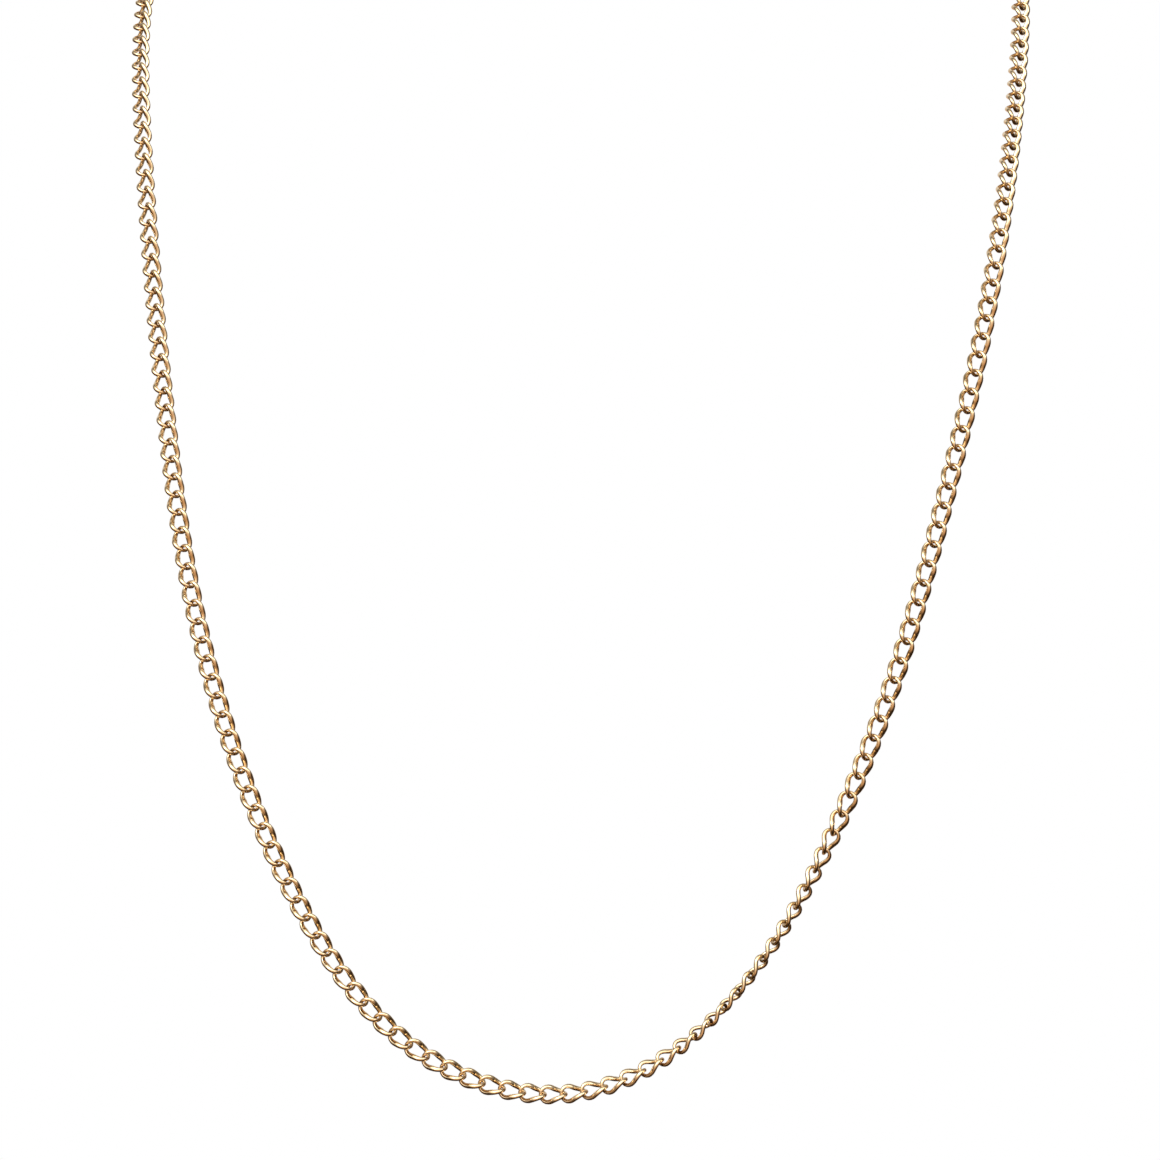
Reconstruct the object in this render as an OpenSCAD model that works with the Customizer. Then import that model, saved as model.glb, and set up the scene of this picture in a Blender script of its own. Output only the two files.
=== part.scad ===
// Curb chain necklace in the form it takes when worn: one closed loop of twisted oval links,
// joined at the back of the neck by a plain barrel clasp.
// Millimetres. The origin is the point of the loop at the nape, in the middle of the clasp.
// +Z is up, the front of the neck faces -Y and +X is on the right of someone looking at the front.

/* [Chain] */
// Spacing of the links along the chain
link_pitch = 2.4; // [2.2:0.05:2.8]
// Thickness of the wire of a link
link_wire = 0.54; // [0.4:0.02:0.58]
// Width of a link over its wire
link_w = 2.4; // [2.2:0.05:2.6]
// Turn of each end of a link out of the flat face of the chain, in degrees
end_turn = 50; // [44:1:55]
// Clearance between the wires of two links
link_gap = 0.12; // [0.11:0.01:0.16]

/* [Clasp] */
// Length of the clasp between the joints at its two ends
clasp_l = 12; // [11:0.5:18]
// Diameter of the clasp's barrel
barrel_d = 2.6; // [2.2:0.1:3.4]
// Depth of the groove round the middle of the barrel
groove_depth = 0.2; // [0.1:0.05:0.4]
// Width of that groove
groove_w = 0.5; // [0.3:0.1:1]
// Thickness of the wire of an eye
eye_wire = 0.5; // [0.4:0.02:0.56]
// Diameter of an eye at the middle of its wire
eye_d = 1.9; // [1.7:0.1:2.2]

/* [Hidden] */
$fn = 40;

// The chain hangs along a smooth closed curve that these points pull into shape. They start at the
// nape, run down the left side of the view from the front, round the bottom and up the other side.
route = [
    [0, 0.5, 0],
    [-21, -1, 0],
    [-40.5, -8.5, -3],
    [-54, -24.5, -10],
    [-55.5, -41.5, -23],
    [-54, -54.5, -39.5],
    [-52, -63, -58.5],
    [-49.5, -74, -76],
    [-46.5, -83, -95],
    [-41, -90, -114],
    [-33, -94.5, -132.5],
    [-21, -97, -150],
    [1, -98, -156.5],
    [19, -97.5, -143],
    [29, -96, -125],
    [37, -93.5, -105.5],
    [42.5, -90, -85.5],
    [47.5, -84.5, -66],
    [51, -75.5, -47.5],
    [53.5, -59.5, -33.5],
    [55.5, -46.5, -17.5],
    [53.5, -26, -8.5],
    [40, -11, -2.5],
    [21, -1, 0]
];

// How the flat face of the chain turns about the chain's own line.
// It lies flat at the nape, leans with the neck's slopes high on both sides and makes half a turn
// low on the right. A link looks the same after half a turn, so it lies as flat at 180 as at 0.
// Columns: share of the loop's length from the nape, turn in degrees.
turns = [
    [0, 180],
    [0.1, 200],
    [0.17, 220],
    [0.22, 214],
    [0.27, 200],
    [0.33, 182],
    [0.36, 175],
    [0.42, 168],
    [0.45, 165],
    [0.475, 152],
    [0.49, 142],
    [0.505, 130],
    [0.52, 119],
    [0.53, 102],
    [0.54, 88],
    [0.55, 76],
    [0.565, 66],
    [0.577, 56],
    [0.586, 36],
    [0.595, 20],
    [0.61, 10],
    [0.65, 6],
    [0.72, 10],
    [0.78, 22],
    [0.83, 28],
    [0.9, 20],
    [1, 0]
];

// The curve through the route's points, as a closed cubic spline
function pulled(i) = route[(i + len(route)) % len(route)];
function spline(i, u) = (
    pow(1 - u, 3) * pulled(i - 1)
    + (3 * pow(u, 3) - 6 * pow(u, 2) + 4) * pulled(i)
    + (1 + 3 * u + 3 * pow(u, 2) - 3 * pow(u, 3)) * pulled(i + 1)
    + pow(u, 3) * pulled(i + 2)
) / 6;
steps = 30;
curve = [
    for (i = [0:len(route) - 1])
        for (k = [0:steps - 1])
            spline(i, k / steps),
    spline(0, 0)
];
last = len(curve) - 1;
run = [
    for (i = 0, s = 0; i <= last; s = s + (i < last ? norm(curve[i + 1] - curve[i]) : 0), i = i + 1)
        s
];
loop_l = run[last];
along = [
    for (axis = [0:2])
        [for (i = [0:last]) [run[i], curve[i][axis]]]
];
function at(s) = [for (axis = [0:2]) lookup(s, along[axis])];

// Links in the loop, the joints between them and the frame of each link
link_count = round((loop_l - clasp_l) / link_pitch);
spacing = (loop_l - clasp_l) / link_count;
joints = [for (k = [0:link_count]) at(clasp_l / 2 + k * spacing)];
half_count = floor(link_count / 2);
function unit(v) = v / norm(v);
function turn_at(s) = lookup(s / loop_l, turns);
function squared(v, t) = unit(v - (v * t) * t);
function across(t, turn) =
    let (face = squared([0, -1, 0], t))
    cos(turn) * cross(face, t) + sin(turn) * face;

// Twisted oval of one link: its half length and half width at the middle of the wire, and the
// two arcs and the straight side that join the wire's direction at an end to that at a side
half_l = (spacing + link_wire + link_gap) / 2;
half_w = (link_w - link_wire) / 2;
corner = [half_l, half_w, -half_w * tan(end_turn)];
to_end = -unit([0, cos(end_turn), -sin(end_turn)]);
to_side = -unit([half_l, 0, -half_w * tan(end_turn)]);
corner_angle = acos(to_end * to_side);
end_reach = half_w / cos(end_turn);
side_reach = norm([half_l, half_w * tan(end_turn)]);
bend_r = end_reach * tan(corner_angle / 2);
bend_centre = corner + unit(to_end + to_side) * bend_r / sin(corner_angle / 2);
bend_start = corner + end_reach * to_side;
bend_turn = 180 - corner_angle;
side_l = 2 * (side_reach - end_reach);

// The wire of a link is a ring of six pieces. Every second one is a core: it is a hair thinner
// and its ends run on into its two neighbours, which joins the ring into one solid.
core_d = 0.98 * link_wire;
core_end = 0.04;
core_turn = core_end / bend_r * 180 / PI;

// Clasp: the eyes pass through the end links as a next link would
clasp_reach = norm(joints[0] - joints[link_count]) / 2;
eye_tip = clasp_reach + (eye_wire + link_gap) / 2;
eye_centre = eye_tip - eye_d / 2;
barrel_l = 2 * (eye_centre - eye_d / 2);

// Puts its children at o, with their X along x and their Y towards y
module placed(o, x, y) {
    ux = unit(x);
    uz = unit(cross(x, y));
    uy = cross(uz, ux);
    multmatrix([
        [ux[0], uy[0], uz[0], o[0]],
        [ux[1], uy[1], uz[1], o[1]],
        [ux[2], uy[2], uz[2], o[2]]
    ])
        children();
}

module link_bend(d, more) {
    placed(bend_centre, [half_l, 0, 0] - bend_centre, bend_start - bend_centre)
        rotate([0, 0, -more])
            rotate_extrude(angle = bend_turn + 2 * more)
                translate([bend_r, 0])
                    circle(d = d);
}

module link_side(d, more) {
    placed([0, half_w, 0], to_side, [0, 1, 0])
        rotate([0, 90, 0])
            cylinder(d = d, h = side_l + 2 * more, center = true);
}

module link() {
    link_bend(link_wire, 0);
    link_side(core_d, core_end);
    rotate([0, 180, 0])
        link_bend(link_wire, 0);
    rotate([0, 0, 180])
        link_bend(core_d, core_turn);
    rotate([180, 0, 0])
        link_side(link_wire, 0);
    rotate([180, 0, 0])
        link_bend(core_d, core_turn);
}

module chain(first, final) {
    for (k = [first:final]) {
        line = unit(joints[k + 1] - joints[k]);
        middle = (joints[k] + joints[k + 1]) / 2;
        turn = turn_at(clasp_l / 2 + (k + 0.5) * spacing);
        placed(middle, line, across(line, turn))
            link();
    }
}

module chain_left() {
    color("gold") chain(0, half_count - 1);
}

module chain_right() {
    color("gold") chain(half_count, link_count - 1);
}

module eye() {
    translate([eye_centre, 0, 0])
        rotate_extrude()
            translate([eye_d / 2, 0])
                circle(d = eye_wire);
}

module barrel() {
    difference() {
        union() {
            rotate([0, 90, 0])
                cylinder(d = barrel_d, h = barrel_l - barrel_d, center = true);
            for (side = [-1, 1])
                translate([side * (barrel_l - barrel_d) / 2, 0, 0])
                    sphere(d = barrel_d);
        }
        rotate([0, 90, 0])
            difference() {
                cylinder(d = barrel_d + 1, h = groove_w, center = true);
                cylinder(d = barrel_d - 2 * groove_depth, h = groove_w + 1, center = true);
            }
    }
}

module clasp() {
    line = unit(joints[0] - joints[link_count]);
    middle = (joints[0] + joints[link_count]) / 2;
    color("goldenrod")
        placed(middle, line, across(line, turn_at(0)))
            union() {
                barrel();
                rotate([-end_turn, 0, 0])
                    eye();
                rotate([-end_turn, 0, 180])
                    eye();
            }
}

chain_left();
chain_right();
clasp();
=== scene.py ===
import math

import bmesh
import bpy
import numpy as np
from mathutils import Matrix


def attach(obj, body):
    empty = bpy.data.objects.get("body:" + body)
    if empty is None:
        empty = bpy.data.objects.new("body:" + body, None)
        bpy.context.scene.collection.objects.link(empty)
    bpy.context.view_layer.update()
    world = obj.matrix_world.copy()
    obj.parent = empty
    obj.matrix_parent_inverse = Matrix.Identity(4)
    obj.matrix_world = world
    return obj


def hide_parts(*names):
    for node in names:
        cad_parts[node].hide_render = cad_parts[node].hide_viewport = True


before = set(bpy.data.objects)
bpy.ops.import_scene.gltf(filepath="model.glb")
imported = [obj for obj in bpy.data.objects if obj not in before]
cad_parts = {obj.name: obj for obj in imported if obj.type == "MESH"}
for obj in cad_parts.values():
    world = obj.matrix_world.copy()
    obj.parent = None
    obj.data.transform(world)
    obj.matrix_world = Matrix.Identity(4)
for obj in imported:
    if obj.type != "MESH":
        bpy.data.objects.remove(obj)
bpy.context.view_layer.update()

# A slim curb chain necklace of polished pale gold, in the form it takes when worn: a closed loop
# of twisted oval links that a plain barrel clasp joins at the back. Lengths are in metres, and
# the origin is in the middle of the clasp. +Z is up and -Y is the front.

MM = 0.001

# Points that pull the chain's smooth closed curve into shape. They start at the clasp, run down
# the left side of the view from the front, round the bottom and up the other side.
ROUTE = MM * np.array([
    [0, 0.5, 0],
    [-21, -1, 0],
    [-40.5, -8.5, -3],
    [-54, -24.5, -10],
    [-55.5, -41.5, -23],
    [-54, -54.5, -39.5],
    [-52, -63, -58.5],
    [-49.5, -74, -76],
    [-46.5, -83, -95],
    [-41, -90, -114],
    [-33, -94.5, -132.5],
    [-21, -97, -150],
    [1, -98, -156.5],
    [19, -97.5, -143],
    [29, -96, -125],
    [37, -93.5, -105.5],
    [42.5, -90, -85.5],
    [47.5, -84.5, -66],
    [51, -75.5, -47.5],
    [53.5, -59.5, -33.5],
    [55.5, -46.5, -17.5],
    [53.5, -26, -8.5],
    [40, -11, -2.5],
    [21, -1, 0],
])

# How the flat face of the chain turns about the chain's own line. A link looks the same after
# half a turn, so it lies as flat at 180 as at 0.
# Columns: share of the loop's length from the middle of the clasp, turn in degrees.
TURNS = np.array([
    [0, 180],
    [0.1, 200],
    [0.17, 220],
    [0.22, 214],
    [0.27, 200],
    [0.33, 182],
    [0.36, 175],
    [0.42, 168],
    [0.45, 165],
    [0.475, 152],
    [0.49, 142],
    [0.505, 130],
    [0.52, 119],
    [0.53, 102],
    [0.54, 88],
    [0.55, 76],
    [0.565, 66],
    [0.577, 56],
    [0.586, 36],
    [0.595, 20],
    [0.61, 10],
    [0.65, 6],
    [0.72, 10],
    [0.78, 22],
    [0.83, 28],
    [0.9, 20],
    [1, 0],
])

# Chain. The wire's thickness is given at a link's sides and at its ends, and the gap lies between
# the wires of two links. The end turn is how far an end of a link is turned out of its flat face.
# The side growth is how much broader the wire's inner half is at the middle of a side, as a share
# of its radius.
LINK_PITCH = 2.4 * MM
LINK_WIDTH = 2.4 * MM
LINK_WIRE = 0.54 * MM
END_WIRE = 0.46 * MM
LINK_GAP = 0.12 * MM
END_TURN = math.radians(50)
SIDE_GROWTH = 0.7

# Clasp. Its length is that between the joints at its two ends, and an eye's radius reaches to the
# middle of its wire.
CLASP_LENGTH = 12 * MM
BARREL_R = 1.3 * MM
GROOVE_DEPTH = 0.2 * MM
GROOVE_WIDTH = 0.5 * MM
EYE_WIRE = 0.5 * MM
EYE_R = 0.95 * MM

# How finely each form is drawn. The tip reach is how far a tip of the barrel stands out from the
# ring beside it, and points nearer to each other than the merge reach become one.
CURVE_STEPS = 30
BEND_POINTS = 4
LINK_SIDES = 6
CAP_RINGS = 14
GROOVE_RINGS = 39
BARREL_SIDES = 48
EYE_RINGS = 40
EYE_SIDES = 14
TIP_REACH = 0.001 * MM
MERGE_REACH = 0.001 * MM

# Finish. The scales of the noises are in features to the metre. A spread is the pair of values
# between which an effect grows from nothing to full. The haze share is the haze's part in the
# joint weight.
DEEP_GOLD = (0.88, 0.68, 0.41, 1)
LIGHT_GOLD = (0.92, 0.73, 0.47, 1)
# Painted shade: the joints are tinted towards this brown, by the joint shade, to stand in for the
# shade between the wires.
SHADED_JOINT_GOLD = (0.42, 0.24, 0.11, 1)
CHAIN_JOINT_SHADE = 0.55
CLASP_JOINT_SHADE = 0.0
JOINT_SPREAD = (0.55, 1.0)
HAZE_SHARE = 0.4
POLISH = 0.1
HAZE_ROUGHNESS = 0.09
JOINT_ROUGHNESS = 0.12
DRIFT_SCALE = 160.0
DRIFT_SPREAD = (0.35, 0.65)
HAZE_SCALE = 1500.0
HAZE_SPREAD = (0.3, 0.75)
MARK_SCALE = 5200.0
MARK_DEPTH = 0.02 * MM
MARK_STRENGTH = 0.06

# Floor and world. A way is the direction in which a light or the dark side of the world lies, and
# its spread is in dot products with that way.
FLOOR_REACH = 1.0
FLOOR_HEIGHT = -0.3
FLOOR_COLOUR = (0.86, 0.86, 0.85, 1)
FLOOR_ROUGHNESS = 0.9
UP = (0, 0, 1)
SKY_SPREAD = (-0.35, 0.8)
SKY_POWER = 1.8
SKY_GLOW = 1.3
WINDOW_WAY = (-0.4, -0.6, 0.69)
WINDOW_SPREAD = (0.75, 0.95)
WINDOW_GLOW = 0.8
FRONT_WAY = (-0.1, -0.97, 0.2)
FRONT_SPREAD = (0.3, 0.95)
FRONT_GLOW = 0.75
BACK_WAY = (0, 0.98, 0.2)
BACK_SPREAD = (0.55, 0.95)
BACK_GLOW = 0.7
DARK_WAY = (0.25, 0.97, 0)
DARK_SPREAD = (-0.5, 0.35)
DARKENING = 0.9
LEAST_GLOW = 0.03
TINT_SPREAD = (-0.5, 0.5)
LOW_TINT = (1.0, 0.6, 0.35, 1)
HIGH_TINT = (1.0, 0.97, 0.93, 1)
WHITE = (1, 1, 1, 1)

# Lamps, each with its place and power, and the camera
LAMPS = (
    ("key", (-0.6, -0.8, 0.7), 3.0),
    ("fill", (0.8, -0.7, 0.5), 0.8),
)
LAMP_SIZE = 0.35
LAMP_AIM = np.array([0, -0.05, -0.08])
CAMERA_PLACE = (0, -0.7475, -0.094)
CAMERA_LENS = 174.5
CAMERA_SENSOR = 36
CAMERA_CLIP = 0.01


def unit(vectors):
    """Each vector over its own length."""
    return vectors / np.linalg.norm(vectors, axis=-1, keepdims=True)


def curve_points():
    """Closed cubic spline: between two points, at share u, it is the mean of four neighbours with
    the weights (1 - u)^3, 3u^3 - 6u^2 + 4, -3u^3 + 3u^2 + 3u + 1 and u^3, over 6."""
    u = np.arange(CURVE_STEPS)[:, None] / CURVE_STEPS
    weights = (
        (1 - u) ** 3,
        3 * u ** 3 - 6 * u ** 2 + 4,
        -3 * u ** 3 + 3 * u ** 2 + 3 * u + 1,
        u ** 3,
    )
    pulls = [np.roll(ROUTE, 1 - k, axis=0)[:, None] for k in range(4)]
    points = sum(w * p for w, p in zip(weights, pulls)) / 6
    points = points.reshape(-1, 3)
    return np.vstack([points, points[:1]])


def across(line, turn):
    """Direction across the chain, in its flat face: square to the line, level with the front at
    turn 0 and turned about the line by turn from there."""
    face = np.array([0.0, -1.0, 0.0])
    face = unit(face - (line @ face)[..., None] * line)
    level = np.cross(face, line)
    return np.cos(turn)[..., None] * level + np.sin(turn)[..., None] * face


def chain_joints():
    """Points where two links meet, evenly spaced along the curve from one end of the clasp to the
    other; their distances along it as shares of its length; and the spacing."""
    curve = curve_points()
    run = np.concatenate([[0], np.cumsum(np.linalg.norm(np.diff(curve, axis=0), axis=1))])
    count = round((run[-1] - CLASP_LENGTH) / LINK_PITCH)
    at = CLASP_LENGTH / 2 + np.linspace(0, run[-1] - CLASP_LENGTH, count + 1)
    points = np.stack([np.interp(at, run, curve[:, axis]) for axis in range(3)], axis=1)
    return points, at / run[-1], (run[-1] - CLASP_LENGTH) / count


def axes_of(start, end, turn):
    """Middle of start and end, and the three axes of what lies between them: X from start to
    end, Y across the chain and Z out of its flat face. Rows of the last result are the axes."""
    x = unit(end - start)
    y = across(x, turn)
    return (start + end) / 2, np.stack([x, y, np.cross(x, y)], axis=-2)


def twisted_oval(half_length, half_width):
    """Centre line of a link's wire: four equal bends, each a flat arc that starts at an end of the
    link, and a straight side between two bends. At an end the wire crosses the chain, turned out
    of the link's flat plane by the end turn, and a side passes through the middle of its edge.
    The arc's radius is the reach from the corner, where the two directions meet, to the end,
    times the tangent of half the angle between them."""
    lean = half_width * math.tan(END_TURN)
    corner = np.array([half_length, half_width, -lean])
    to_end = unit(np.array([half_length, 0, 0]) - corner)
    to_side = unit(np.array([0, half_width, 0]) - corner)
    reach = half_width / math.cos(END_TURN)
    half_angle = math.acos(to_end @ to_side) / 2
    radius = reach * math.tan(half_angle)
    centre = corner + unit(to_end + to_side) * radius / math.sin(half_angle)
    start = unit(corner + reach * to_end - centre)
    angle = np.linspace(0, math.pi - 2 * half_angle, BEND_POINTS)[:, None]
    bend = centre + radius * (np.cos(angle) * start - np.sin(angle) * to_end)
    quarter = np.vstack([bend, [[0, half_width, 0]]])
    half = np.vstack([quarter, (quarter * [-1, 1, -1])[-2:0:-1]])
    return np.vstack([half, half * [-1, -1, 1]])


def round_wire(line, radius, sides):
    """Closed wire round a closed line: at each point a ring of that radius, square to the line.
    A ring starts on the side away from the line's middle and runs round at equal angles. The
    radius is one number, or one for each point of the line."""
    along = unit(np.roll(line, -1, axis=0) - np.roll(line, 1, axis=0))
    lift = unit(np.cross(along, line - line.mean(axis=0)))
    out = np.cross(lift, along)
    angle = 2 * math.pi * np.arange(sides) / sides
    ring = np.cos(angle)[:, None] * out[:, None] + np.sin(angle)[:, None] * lift[:, None]
    return line[:, None] + radius * ring


def turned(profile, sides):
    """Surface of revolution about the X axis: each (x, radius) of the profile is one ring."""
    angle = 2 * math.pi * np.arange(sides) / sides
    x = np.broadcast_to(profile[:, :1], (len(profile), sides))
    return np.stack([x, profile[:, 1:] * np.cos(angle), profile[:, 1:] * np.sin(angle)], axis=-1)


def grid_faces(rings, sides, closed):
    """Four corners of each face of a grid of rings, in the order that makes the face point
    outwards. Sides always close, and rings if told."""
    ring = np.arange(rings if closed else rings - 1)[:, None] * sides
    ahead = (ring + sides) % (rings * sides)
    side = np.arange(sides)
    beside = (side + 1) % sides
    corners = [ring + side, ring + beside, ahead + beside, ahead + side]
    return np.stack(corners, axis=-1).reshape(-1, 4)


def smooth_mesh(name, parts, material):
    """One smooth mesh of several grids, each given as (points, faces, nearness of each point to a
    joint)."""
    points = np.concatenate([p.reshape(-1, 3) for p, _, _ in parts])
    starts = np.concatenate([[0], np.cumsum([p.size // 3 for p, _, _ in parts])])
    faces = np.concatenate([f + s for (_, f, _), s in zip(parts, starts)])
    nearness = np.concatenate([n.ravel() for _, _, n in parts])
    mesh = bpy.data.meshes.new(name)
    mesh.from_pydata(points.tolist(), [], faces.tolist())
    mesh.polygons.foreach_set("use_smooth", np.ones(len(faces), bool))
    near = mesh.attributes.new("near_joint", "FLOAT", "POINT")
    near.data.foreach_set("value", nearness.astype(np.float32))
    mesh.materials.append(material)
    piece = bpy.data.objects.new(name, mesh)
    bpy.context.collection.objects.link(piece)
    return piece


def close_poles(piece):
    """Merges points that share one place, which closes a ring that has shrunk to its middle."""
    shape = bmesh.new()
    shape.from_mesh(piece.data)
    bmesh.ops.remove_doubles(shape, verts=shape.verts, dist=MERGE_REACH)
    shape.to_mesh(piece.data)
    shape.free()
    return piece


def soften(piece):
    """Subdivision surface over a coarse mesh."""
    made = piece.modifiers.new("soften", "SUBSURF")
    made.levels = made.render_levels = 1
    return piece


def drawn_out(line):
    """The closed line that softening brings to the one given. It moves each point an eighth of the
    way towards each of its two neighbours, which leaves the point a share of three quarters."""
    same = np.eye(len(line))
    neighbours = np.roll(same, 1, axis=0) + np.roll(same, -1, axis=0)
    return np.linalg.solve(0.75 * same + 0.125 * neighbours, line)


def softened_share(sides):
    """Share of its radius that softening leaves a ring: the mean of its corners, which end at
    0.75 + 0.25 cos of one side's angle, and the middles of its sides, at cos of half of it."""
    corner = 0.75 + 0.25 * math.cos(2 * math.pi / sides)
    return (corner + math.cos(math.pi / sides)) / 2


def link_grid(spacing):
    """One link about its own middle, and how near each point is to a joint: the square of its
    share of the way from the link's middle to its end. The wire thins by the nearness, from the
    sides to the ends, and its inner half is broader by side growth times (1 - nearness)^2."""
    half_length = (spacing + END_WIRE + LINK_GAP) / 2
    line = twisted_oval(half_length, (LINK_WIDTH - LINK_WIRE) / 2)
    near = (line[:, :1] / half_length) ** 2
    line = drawn_out(line)
    wire = END_WIRE + (LINK_WIRE - END_WIRE) * (1 - near)
    points = round_wire(line, wire[:, None] / 2 / softened_share(LINK_SIDES), LINK_SIDES)
    side = np.sign(line[:, 1:2])
    outward = side * (points[..., 1] - line[:, 1:2])
    points[..., 1] += side * SIDE_GROWTH * (1 - near) ** 2 * np.minimum(outward, 0)
    return points, np.broadcast_to(near, points.shape[:2])


def chain_piece(name, node, joints, shares, spacing, material):
    """The links of one stretch of chain as one mesh: the same link at each pair of joints."""
    points, near = link_grid(spacing)
    turn = np.radians(np.interp((shares[1:] + shares[:-1]) / 2, TURNS[:, 0], TURNS[:, 1]))
    middles, axes = axes_of(joints[:-1], joints[1:], turn)
    placed = np.einsum("rsk,nkc->nrsc", points, axes) + middles[:, None, None]
    faces = grid_faces(len(points), LINK_SIDES, True)
    count = len(middles)
    step = points.shape[0] * points.shape[1]
    faces = (faces[None] + step * np.arange(count)[:, None, None]).reshape(-1, 4)
    near = np.broadcast_to(near, (count,) + near.shape)
    piece = soften(smooth_mesh(name, [(placed, faces, near)], material))
    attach(piece, "root")
    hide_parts(node)
    return piece


def barrel_profile(half_length):
    """Outline of the barrel as (x, radius). Half of it is a round end of the barrel's own radius
    and a straight side, with a soft groove at the middle: at x from there it is the groove's depth
    times e to the power of -(2x / groove width)^4. Each tip is a ring shrunk to a point."""
    end = half_length - BARREL_R
    angle = np.linspace(math.pi, math.pi / 2, CAP_RINGS + 1)[1:]
    cap = np.stack([BARREL_R * np.cos(angle) - end, BARREL_R * np.sin(angle)], axis=1)
    x = np.linspace(-end, 0, GROOVE_RINGS + 1)[1:]
    groove = GROOVE_DEPTH * np.exp(-(2 * x / GROOVE_WIDTH) ** 4)
    side = np.stack([x, BARREL_R - groove], axis=1)
    tip = [cap[0, 0] - TIP_REACH, 0]
    half = np.vstack([[tip], cap, side])
    return np.vstack([half, (half * [-1, 1])[-2::-1]])


def eye_wire(centre_x, side):
    """Wire of one eye: a circle about centre_x on the side given, 1 or -1, which leans out of the
    chain's flat face as the end of a link does."""
    angle = 2 * math.pi * np.arange(EYE_RINGS)[:, None] / EYE_RINGS
    lean = np.array([0, math.cos(END_TURN), -side * math.sin(END_TURN)])
    circle = EYE_R * (np.cos(angle) * np.array([1, 0, 0]) + np.sin(angle) * lean)
    return round_wire(side * np.array([centre_x, 0, 0]) + circle, EYE_WIRE / 2, EYE_SIDES)


def clasp_piece(joints, material):
    """Barrel clasp: a turned barrel and an eye at each end, which passes through the end link. The
    middle of the wire at an eye's tip lies half the wire and half a gap past the joint."""
    half = np.linalg.norm(joints[0] - joints[-1]) / 2
    eye_x = half + (EYE_WIRE + LINK_GAP) / 2 - EYE_R
    barrel = turned(barrel_profile(eye_x - EYE_R), BARREL_SIDES)
    parts = [(barrel, grid_faces(len(barrel), BARREL_SIDES, False), np.zeros(barrel.shape[:2]))]
    for side in (1, -1):
        eye = eye_wire(eye_x, side)
        parts.append((eye, grid_faces(EYE_RINGS, EYE_SIDES, True), np.zeros(eye.shape[:2])))
    middle, axes = axes_of(joints[-1], joints[0], np.radians(TURNS[0, 1]))
    parts = [(np.einsum("rsk,kc->rsc", p, axes) + middle, f, n) for p, f, n in parts]
    piece = close_poles(smooth_mesh("barrel_clasp", parts, material))
    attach(piece, "root")
    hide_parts("clasp")
    return piece


class Shade:
    """One value in a node tree. Arithmetic on it adds Math nodes, and node() adds any other."""

    def __init__(self, tree, socket=None):
        self.tree = tree
        self.socket = socket

    def node(self, kind, settings=None, values=None, output=0):
        """Adds a node, sets its settings and fills its sockets with numbers or other shades."""
        made = self.tree.nodes.new("ShaderNode" + kind)
        for name, value in (settings or {}).items():
            setattr(made, name, value)
        for name, value in (values or {}).items():
            if isinstance(value, Shade):
                self.tree.links.new(value.socket, made.inputs[name])
            else:
                made.inputs[name].default_value = value
        return Shade(self.tree, made.outputs[output])

    def math(self, operation, *terms):
        """Adds a Math node that works out the operation on the terms."""
        return self.node("Math", {"operation": operation}, dict(enumerate(terms)))

    def __add__(self, other):
        return self.math("ADD", self, other)

    __radd__ = __add__

    def __rsub__(self, other):
        return self.math("SUBTRACT", other, self)

    def __mul__(self, other):
        return self.math("MULTIPLY", self, other)

    __rmul__ = __mul__

    def __pow__(self, other):
        return self.math("POWER", self, other)

    def between(self, low, high):
        """0 below low, 1 above high and a smooth step between them."""
        settings = {"interpolation_type": "SMOOTHSTEP"}
        return self.node("MapRange", settings, {0: self, 1: low, 2: high})

    def colours(self, first, second):
        """The first colour where this is 0 and the second where it is 1."""
        return self.node("Mix", {"data_type": "RGBA"}, {0: self, 6: first, 7: second}, output=2)

    def dot(self, vector):
        """Dot product of this vector and the one given."""
        settings = {"operation": "DOT_PRODUCT"}
        return self.node("VectorMath", settings, {0: self, 1: vector}, output="Value")


def noise(graph, place, scale, detail):
    """Soft noise of a feature size of 1 / scale metres, from 0 to 1."""
    return graph.node("TexNoise", {}, {"Vector": place, "Scale": scale, "Detail": detail})


def gold(name, joint_shade):
    """Polished pale gold: the tint drifts a little along the chain, a fine haze and fine marks
    break the polish, and painted shade makes the metal browner in the joints, by the joint
    shade. The joint weight there is the nearness within its spread, times (1 - haze share + haze
    share times haze). The roughness is the polish, plus haze and joint weight, each times its own
    roughness."""
    material = bpy.data.materials.new(name)
    material.use_nodes = True
    tree = material.node_tree
    shader = tree.nodes["Principled BSDF"]
    graph = Shade(tree)
    place = graph.node("TexCoord", output="Object")
    drift = noise(graph, place, DRIFT_SCALE, 2.0).between(*DRIFT_SPREAD)
    haze = noise(graph, place, HAZE_SCALE, 3.0).between(*HAZE_SPREAD)
    marks = noise(graph, place, MARK_SCALE, 1.0)
    near = graph.node("Attribute", {"attribute_name": "near_joint"}, output="Fac")
    joint_weight = near.between(*JOINT_SPREAD) * ((1 - HAZE_SHARE) + HAZE_SHARE * haze)
    polished = drift.colours(DEEP_GOLD, LIGHT_GOLD)
    # Painted shade: the base colour turns brown in the joints to stand in for the shade between
    # the wires.
    tint = (joint_weight * joint_shade).colours(polished, SHADED_JOINT_GOLD)
    tree.links.new(tint.socket, shader.inputs["Base Color"])
    rough = POLISH + HAZE_ROUGHNESS * haze + JOINT_ROUGHNESS * joint_weight
    tree.links.new(rough.socket, shader.inputs["Roughness"])
    relief = {"Strength": MARK_STRENGTH, "Distance": MARK_DEPTH, "Height": marks}
    bump = graph.node("Bump", {}, relief)
    tree.links.new(bump.socket, shader.inputs["Normal"])
    shader.inputs["Metallic"].default_value = 1.0
    return material


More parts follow.
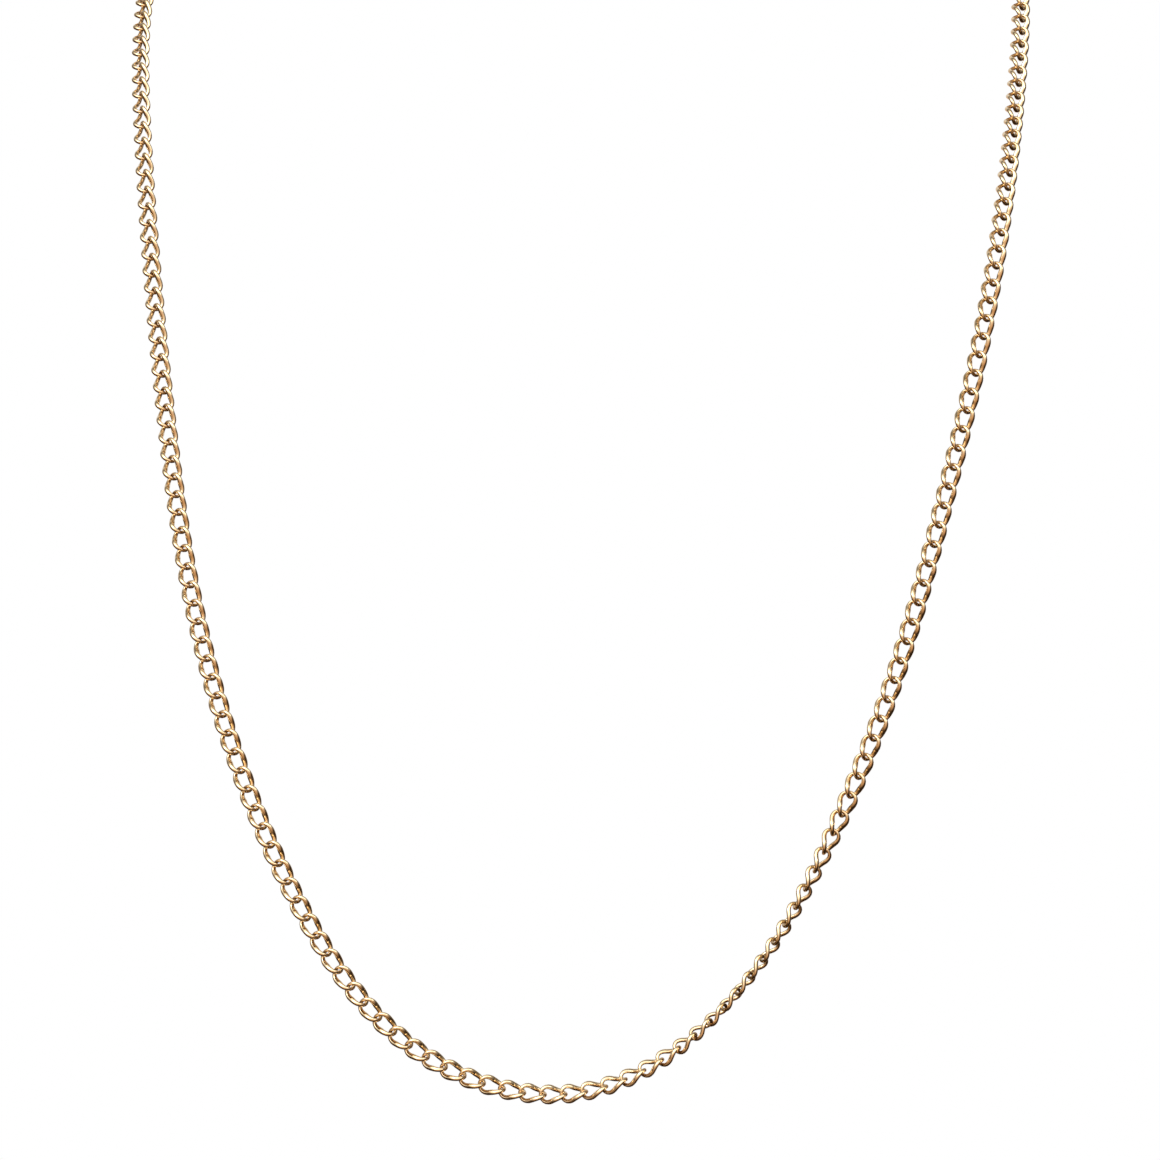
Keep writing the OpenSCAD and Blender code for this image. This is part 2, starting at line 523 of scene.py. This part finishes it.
def add_floor():
    """Pale floor below the necklace, which the metal does not mirror."""
    edge = FLOOR_REACH * np.array([[-1, -1], [1, -1], [1, 1], [-1, 1]])
    corners = np.column_stack([edge, np.full(len(edge), FLOOR_HEIGHT)])
    mesh = bpy.data.meshes.new("floor")
    mesh.from_pydata(corners.tolist(), [], [[0, 1, 2, 3]])
    floor = bpy.data.objects.new("floor", mesh)
    bpy.context.collection.objects.link(floor)
    floor.visible_glossy = False
    pale = bpy.data.materials.new("pale_floor")
    pale.use_nodes = True
    shader = pale.node_tree.nodes["Principled BSDF"]
    shader.inputs["Base Color"].default_value = FLOOR_COLOUR
    shader.inputs["Roughness"].default_value = FLOOR_ROUGHNESS
    mesh.materials.append(pale)


def add_world():
    """World that the camera sees as white. The metal mirrors a glow that grows with height, with a
    window high on the left, a soft light in front, one straight behind and a dark side between
    them. The glow's strength is the least glow, what is lit times (1 - darkening times the dark
    side), and the back's glow, all added up."""
    world = bpy.data.worlds.new("studio")
    bpy.context.scene.world = world
    world.use_nodes = True
    tree = world.node_tree
    graph = Shade(tree)
    way = graph.node("TexCoord", output="Generated")
    height = way.dot(UP)
    sky = height.between(*SKY_SPREAD) ** SKY_POWER
    window = way.dot(WINDOW_WAY).between(*WINDOW_SPREAD)
    front = way.dot(FRONT_WAY).between(*FRONT_SPREAD)
    back = way.dot(BACK_WAY).between(*BACK_SPREAD)
    dark = way.dot(DARK_WAY).between(*DARK_SPREAD)
    lit = SKY_GLOW * sky + WINDOW_GLOW * window + FRONT_GLOW * front
    glow = LEAST_GLOW + lit * (1 - DARKENING * dark) + BACK_GLOW * back
    seen = graph.node("LightPath", output="Is Camera Ray")
    level = seen + (1 - seen) * glow
    background = tree.nodes["Background"]
    tree.links.new(level.socket, background.inputs["Strength"])
    shade = height.between(*TINT_SPREAD).colours(LOW_TINT, HIGH_TINT)
    tint = seen.colours(shade, WHITE)
    tree.links.new(tint.socket, background.inputs["Color"])


def look_along(direction):
    """Turn that points a lamp's -Z along a direction: about X by the angle between straight down
    and the direction, then about Z by its heading."""
    x, y, z = direction / np.linalg.norm(direction)
    return (math.acos(-z), 0, math.atan2(x, -y) + math.pi)


def add_lamps():
    """Two soft square lamps in front, aimed at the middle of the necklace."""
    for name, place, power in LAMPS:
        data = bpy.data.lights.new(name, "AREA")
        data.energy = power
        data.size = LAMP_SIZE
        lamp = bpy.data.objects.new(name, data)
        bpy.context.collection.objects.link(lamp)
        lamp.location = place
        lamp.visible_camera = False
        lamp.rotation_euler = look_along(LAMP_AIM - np.array(place))


def add_camera():
    """Level camera straight in front, framed as the photograph is."""
    data = bpy.data.cameras.new("camera")
    camera = bpy.data.objects.new("camera", data)
    bpy.context.collection.objects.link(camera)
    camera.location = CAMERA_PLACE
    camera.rotation_euler = (math.pi / 2, 0, 0)
    data.sensor_width = CAMERA_SENSOR
    data.lens = CAMERA_LENS
    data.clip_start = CAMERA_CLIP
    bpy.context.scene.camera = camera
    bpy.context.scene.view_settings.view_transform = "Standard"


joints, shares, spacing = chain_joints()
half = (len(joints) - 1) // 2
chain_gold = gold("chain_gold", CHAIN_JOINT_SHADE)
clasp_gold = gold("clasp_gold", CLASP_JOINT_SHADE)
for name, node, stretch in (
    ("curb_links_left", "chain_left", slice(None, half + 1)),
    ("curb_links_right", "chain_right", slice(half, None)),
):
    chain_piece(name, node, joints[stretch], shares[stretch], spacing, chain_gold)
clasp_piece(joints, clasp_gold)
add_floor()
add_world()
add_lamps()
add_camera()
